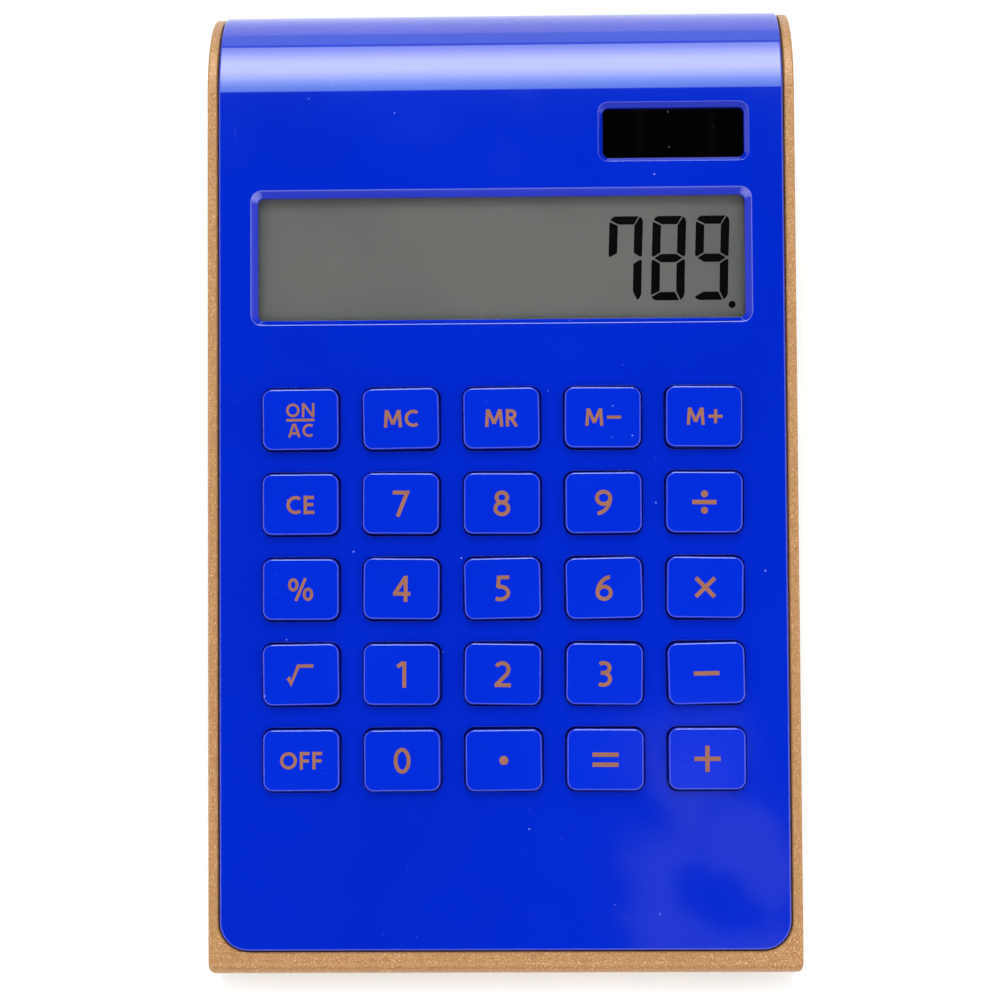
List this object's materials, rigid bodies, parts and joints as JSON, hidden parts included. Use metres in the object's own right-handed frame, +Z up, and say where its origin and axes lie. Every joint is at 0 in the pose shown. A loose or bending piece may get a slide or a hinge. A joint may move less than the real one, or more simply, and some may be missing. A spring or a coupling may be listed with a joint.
{
  "type": "desk calculator",
  "caption": "Slim tilted desk calculator with a glossy cover that rolls over the rear edge to form the standing leg, a segment display, a solar window and sprung keys.",
  "frame": {"origin": "on the desk under the middle of the bounding box", "axes": "+X to the user's right, +Y from the user to the rear roll, +Z up"},
  "size_m": [0.105, 0.175, 0.028],
  "materials": {
    "cover": "high gloss cobalt blue",
    "key": "gloss cobalt blue with printed rose-gold legends",
    "case": "satin metallic gold paint with a fine sparkle",
    "lens": "clear, polished",
    "lcd": "grey polariser",
    "reflector": "silvered film",
    "holder": "natural white",
    "ribbon": "heat-seal film",
    "dark_window": "dark tinted, polished",
    "silicon": "amorphous silicon on glass",
    "silicone": "translucent grey silicone",
    "board": "green solder mask",
    "resin": "black potting resin",
    "sleeve": "shrink sleeve",
    "cell_steel": "nickel-plated",
    "contact": "nickel-plated spring strip",
    "screw": "zinc-plated",
    "foot": "matt black rubber",
    "wire_red": "PVC insulation",
    "wire_black": "PVC insulation"
  },
  "bodies": {
    "housing": {"top_cover": "cover", "base_case": "case", "lcd_lens": "lens", "lcd_glass": "lcd", "lcd_reflector": "reflector", "lcd_holder": "holder", "lcd_ribbon": "ribbon", "solar_window": "dark_window", "solar_cell": "silicon", "solar_wire_positive": "wire_red", "solar_wire_negative": "wire_black", "key_mat": "silicone", "main_board": "board", "chip_cover": "resin", "capacitor": "sleeve", "battery_cell": "cell_steel", "battery_contact_positive": "contact", "battery_contact_negative": "contact", "battery_wire_positive": "wire_red", "battery_wire_negative": "wire_black", "foot_front_left": "foot", "foot_front_right": "foot", "foot_rear_left": "foot", "foot_rear_right": "foot", "case_screw_1": "screw", "case_screw_2": "screw", "case_screw_3": "screw", "case_screw_4": "screw", "case_screw_5": "screw", "board_screw_1": "screw", "board_screw_2": "screw", "board_screw_3": "screw", "board_screw_4": "screw"},
    "key_on_ac": {"key_on_ac": "key"},
    "key_mc": {"key_mc": "key"},
    "key_mr": {"key_mr": "key"},
    "key_m_minus": {"key_m_minus": "key"},
    "key_m_plus": {"key_m_plus": "key"},
    "key_ce": {"key_ce": "key"},
    "key_7": {"key_7": "key"},
    "key_8": {"key_8": "key"},
    "key_9": {"key_9": "key"},
    "key_divide": {"key_divide": "key"},
    "key_percent": {"key_percent": "key"},
    "key_4": {"key_4": "key"},
    "key_5": {"key_5": "key"},
    "key_6": {"key_6": "key"},
    "key_multiply": {"key_multiply": "key"},
    "key_root": {"key_root": "key"},
    "key_1": {"key_1": "key"},
    "key_2": {"key_2": "key"},
    "key_3": {"key_3": "key"},
    "key_minus": {"key_minus": "key"},
    "key_off": {"key_off": "key"},
    "key_0": {"key_0": "key"},
    "key_point": {"key_point": "key"},
    "key_equals": {"key_equals": "key"},
    "key_plus": {"key_plus": "key"},
    "battery_door": {"battery_door": "case", "battery_door_screw": "screw"}
  },
  "joints": [
    {"name": "key_on_ac_press", "type": "slide", "parent": "housing", "child": "key_on_ac", "axis": [0, 0.108, -0.9942], "range_m": [0, 0.0012], "stiffness_N_per_m": 600, "deforming": ["key_mat"]},
    {"name": "key_mc_press", "type": "slide", "parent": "housing", "child": "key_mc", "axis": [0, 0.108, -0.9942], "range_m": [0, 0.0012], "stiffness_N_per_m": 600, "deforming": ["key_mat"]},
    {"name": "key_mr_press", "type": "slide", "parent": "housing", "child": "key_mr", "axis": [0, 0.108, -0.9942], "range_m": [0, 0.0012], "stiffness_N_per_m": 600, "deforming": ["key_mat"]},
    {"name": "key_m_minus_press", "type": "slide", "parent": "housing", "child": "key_m_minus", "axis": [0, 0.108, -0.9942], "range_m": [0, 0.0012], "stiffness_N_per_m": 600, "deforming": ["key_mat"]},
    {"name": "key_m_plus_press", "type": "slide", "parent": "housing", "child": "key_m_plus", "axis": [0, 0.108, -0.9942], "range_m": [0, 0.0012], "stiffness_N_per_m": 600, "deforming": ["key_mat"]},
    {"name": "key_ce_press", "type": "slide", "parent": "housing", "child": "key_ce", "axis": [0, 0.108, -0.9942], "range_m": [0, 0.0012], "stiffness_N_per_m": 600, "deforming": ["key_mat"]},
    {"name": "key_7_press", "type": "slide", "parent": "housing", "child": "key_7", "axis": [0, 0.108, -0.9942], "range_m": [0, 0.0012], "stiffness_N_per_m": 600, "deforming": ["key_mat"]},
    {"name": "key_8_press", "type": "slide", "parent": "housing", "child": "key_8", "axis": [0, 0.108, -0.9942], "range_m": [0, 0.0012], "stiffness_N_per_m": 600, "deforming": ["key_mat"]},
    {"name": "key_9_press", "type": "slide", "parent": "housing", "child": "key_9", "axis": [0, 0.108, -0.9942], "range_m": [0, 0.0012], "stiffness_N_per_m": 600, "deforming": ["key_mat"]},
    {"name": "key_divide_press", "type": "slide", "parent": "housing", "child": "key_divide", "axis": [0, 0.108, -0.9942], "range_m": [0, 0.0012], "stiffness_N_per_m": 600, "deforming": ["key_mat"]},
    {"name": "key_percent_press", "type": "slide", "parent": "housing", "child": "key_percent", "axis": [0, 0.108, -0.9942], "range_m": [0, 0.0012], "stiffness_N_per_m": 600, "deforming": ["key_mat"]},
    {"name": "key_4_press", "type": "slide", "parent": "housing", "child": "key_4", "axis": [0, 0.108, -0.9942], "range_m": [0, 0.0012], "stiffness_N_per_m": 600, "deforming": ["key_mat"]},
    {"name": "key_5_press", "type": "slide", "parent": "housing", "child": "key_5", "axis": [0, 0.108, -0.9942], "range_m": [0, 0.0012], "stiffness_N_per_m": 600, "deforming": ["key_mat"]},
    {"name": "key_6_press", "type": "slide", "parent": "housing", "child": "key_6", "axis": [0, 0.108, -0.9942], "range_m": [0, 0.0012], "stiffness_N_per_m": 600, "deforming": ["key_mat"]},
    {"name": "key_multiply_press", "type": "slide", "parent": "housing", "child": "key_multiply", "axis": [0, 0.108, -0.9942], "range_m": [0, 0.0012], "stiffness_N_per_m": 600, "deforming": ["key_mat"]},
    {"name": "key_root_press", "type": "slide", "parent": "housing", "child": "key_root", "axis": [0, 0.108, -0.9942], "range_m": [0, 0.0012], "stiffness_N_per_m": 600, "deforming": ["key_mat"]},
    {"name": "key_1_press", "type": "slide", "parent": "housing", "child": "key_1", "axis": [0, 0.108, -0.9942], "range_m": [0, 0.0012], "stiffness_N_per_m": 600, "deforming": ["key_mat"]},
    {"name": "key_2_press", "type": "slide", "parent": "housing", "child": "key_2", "axis": [0, 0.108, -0.9942], "range_m": [0, 0.0012], "stiffness_N_per_m": 600, "deforming": ["key_mat"]},
    {"name": "key_3_press", "type": "slide", "parent": "housing", "child": "key_3", "axis": [0, 0.108, -0.9942], "range_m": [0, 0.0012], "stiffness_N_per_m": 600, "deforming": ["key_mat"]},
    {"name": "key_minus_press", "type": "slide", "parent": "housing", "child": "key_minus", "axis": [0, 0.108, -0.9942], "range_m": [0, 0.0012], "stiffness_N_per_m": 600, "deforming": ["key_mat"]},
    {"name": "key_off_press", "type": "slide", "parent": "housing", "child": "key_off", "axis": [0, 0.108, -0.9942], "range_m": [0, 0.0012], "stiffness_N_per_m": 600, "deforming": ["key_mat"]},
    {"name": "key_0_press", "type": "slide", "parent": "housing", "child": "key_0", "axis": [0, 0.108, -0.9942], "range_m": [0, 0.0012], "stiffness_N_per_m": 600, "deforming": ["key_mat"]},
    {"name": "key_point_press", "type": "slide", "parent": "housing", "child": "key_point", "axis": [0, 0.108, -0.9942], "range_m": [0, 0.0012], "stiffness_N_per_m": 600, "deforming": ["key_mat"]},
    {"name": "key_equals_press", "type": "slide", "parent": "housing", "child": "key_equals", "axis": [0, 0.108, -0.9942], "range_m": [0, 0.0012], "stiffness_N_per_m": 600, "deforming": ["key_mat"]},
    {"name": "key_plus_press", "type": "slide", "parent": "housing", "child": "key_plus", "axis": [0, 0.108, -0.9942], "range_m": [0, 0.0012], "stiffness_N_per_m": 600, "deforming": ["key_mat"]},
    {"name": "battery_door_lift", "type": "slide", "parent": "housing", "child": "battery_door", "axis": [0, 0.108, -0.9942], "range_m": [0, 0.01]}
  ]
}
